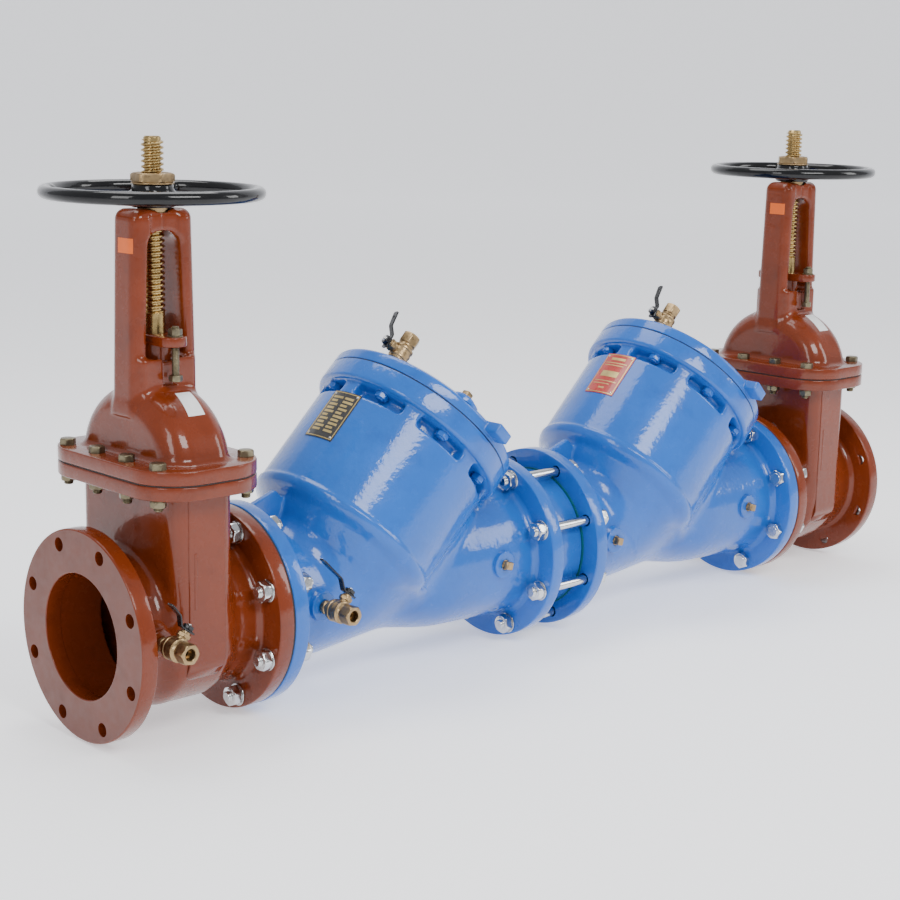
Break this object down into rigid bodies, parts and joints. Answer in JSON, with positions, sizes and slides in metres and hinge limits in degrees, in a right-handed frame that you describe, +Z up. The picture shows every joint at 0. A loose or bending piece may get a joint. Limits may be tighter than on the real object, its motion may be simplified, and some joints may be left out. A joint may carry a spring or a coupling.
{
  "type": "backflow preventer",
  "caption": "Flanged double check valve backflow preventer with rising-stem gate valves, inclined-cover check valves, ball test cocks and plugs.",
  "frame": {"origin": "centre of the inlet flange face, on the pipe centreline", "axes": "+X along the pipe in the flow direction, +Z up through the handwheel stems, -Y the side that carries the test cocks"},
  "size_m": [2.0046, 0.398, 0.9445],
  "materials": {
    "gate_paint": "gloss oxide-red enamel on cast iron",
    "check_paint": "gloss blue epoxy on cast iron",
    "wheel_paint": "gloss black enamel",
    "brass": "machined",
    "bronze": "as cast, machined faces",
    "zinc": "zinc plated",
    "yellow_zinc": "yellow chromate zinc plated",
    "stainless": "drawn and polished",
    "lever_steel": "dark plated steel",
    "rubber": "moulded",
    "green_fibre": "cut fibre sheet"
  },
  "bodies": {
    "housing": {"inlet_gate_body": "gate_paint", "inlet_gate_bonnet_gasket": "rubber", "inlet_gate_bonnet": "gate_paint", "inlet_gate_bonnet_bolts": "yellow_zinc", "inlet_gate_gland": "gate_paint", "inlet_gate_gland_bolts": "yellow_zinc", "outlet_gate_body": "gate_paint", "outlet_gate_bonnet_gasket": "rubber", "outlet_gate_bonnet": "gate_paint", "outlet_gate_bonnet_bolts": "yellow_zinc", "outlet_gate_gland": "gate_paint", "outlet_gate_gland_bolts": "yellow_zinc", "check1_body": "check_paint", "check1_cover": "check_paint", "check1_cover_gasket": "rubber", "check1_cover_bolts": "check_paint", "check1_seat_ring": "bronze", "check1_spring": "stainless", "check2_body": "check_paint", "check2_cover": "check_paint", "check2_cover_gasket": "rubber", "check2_cover_bolts": "check_paint", "check2_seat_ring": "bronze", "check2_spring": "stainless", "spacer_ring": "check_paint", "inlet_joint_gasket": "rubber", "outlet_joint_gasket": "rubber", "spacer_inlet_gasket": "green_fibre", "spacer_outlet_gasket": "green_fibre", "inlet_joint_bolts": "zinc", "spacer_joint_studs": "zinc", "outlet_joint_bolts": "zinc", "check1_outlet_plug": "bronze", "check2_inlet_plug": "bronze", "check2_outlet_plug": "bronze", "check1_cover_plug": "bronze", "gate_cock_body": "bronze", "check1_side_cock_body": "bronze", "check1_top_cock_body": "bronze", "check2_top_cock_body": "bronze"},
    "inlet_stem": {"inlet_gate_wedge": "rubber", "inlet_gate_stem": "brass"},
    "inlet_wheel": {"inlet_gate_handwheel": "wheel_paint", "inlet_gate_handwheel_nut": "bronze", "inlet_gate_yoke_nut": "bronze"},
    "outlet_stem": {"outlet_gate_wedge": "rubber", "outlet_gate_stem": "brass"},
    "outlet_wheel": {"outlet_gate_handwheel": "wheel_paint", "outlet_gate_handwheel_nut": "bronze", "outlet_gate_yoke_nut": "bronze"},
    "check1_poppet": {"check1_disc": "bronze"},
    "check2_poppet": {"check2_disc": "bronze"},
    "gate_cock_handle": {"gate_cock_ball": "stainless", "gate_cock_lever": "lever_steel"},
    "check1_side_cock_handle": {"check1_side_cock_ball": "stainless", "check1_side_cock_lever": "lever_steel"},
    "check1_top_cock_handle": {"check1_top_cock_ball": "stainless", "check1_top_cock_lever": "lever_steel"},
    "check2_top_cock_handle": {"check2_top_cock_ball": "stainless", "check2_top_cock_lever": "lever_steel"}
  },
  "joints": [
    {"name": "inlet_wheel_spin", "type": "hinge", "parent": "housing", "child": "inlet_wheel", "pos_m": [0.14605, 0, 0.687], "axis": [0, 0, 1], "range_deg": [0, 9000]},
    {"name": "inlet_stem_rise", "type": "slide", "parent": "housing", "child": "inlet_stem", "axis": [0, 0, 1], "range_m": [0, 0.2101]},
    {"name": "outlet_wheel_spin", "type": "hinge", "parent": "housing", "child": "outlet_wheel", "pos_m": [1.80055, 0, 0.687], "axis": [0, 0, 1], "range_deg": [0, 9000]},
    {"name": "outlet_stem_rise", "type": "slide", "parent": "housing", "child": "outlet_stem", "axis": [0, 0, 1], "range_m": [0, 0.2101]},
    {"name": "check1_disc_lift", "type": "slide", "parent": "housing", "child": "check1_poppet", "axis": [0.7071, 0, 0.7071], "range_m": [0, 0.055], "stiffness_N_per_m": 1500, "springref_m": -0.06, "deforming": ["check1_spring"]},
    {"name": "check2_disc_lift", "type": "slide", "parent": "housing", "child": "check2_poppet", "axis": [0.7071, 0, 0.7071], "range_m": [0, 0.055], "stiffness_N_per_m": 1500, "springref_m": -0.06, "deforming": ["check2_spring"]},
    {"name": "gate_cock_turn", "type": "hinge", "parent": "housing", "child": "gate_cock_handle", "pos_m": [0.062, -0.1674, 0.008], "axis": [0.6157, 0, 0.788], "range_deg": [0, 90]},
    {"name": "check1_side_cock_turn", "type": "hinge", "parent": "housing", "child": "check1_side_cock_handle", "pos_m": [0.3893, -0.1644, 0.005], "axis": [0.6157, 0, 0.788], "range_deg": [0, 90]},
    {"name": "check1_top_cock_turn", "type": "hinge", "parent": "housing", "child": "check1_top_cock_handle", "pos_m": [0.67052, 0.003, 0.3881], "axis": [-0.6828, 0.2599, 0.6828], "range_deg": [0, 90]},
    {"name": "check2_top_cock_turn", "type": "hinge", "parent": "housing", "child": "check2_top_cock_handle", "pos_m": [1.39452, 0.003, 0.3881], "axis": [-0.6828, 0.2599, 0.6828], "range_deg": [0, 90]}
  ],
  "couplings": [
    {"joint": "inlet_stem_rise", "follows": "inlet_wheel_spin", "m_per_rad": 0.0013369},
    {"joint": "outlet_stem_rise", "follows": "outlet_wheel_spin", "m_per_rad": 0.0013369}
  ]
}
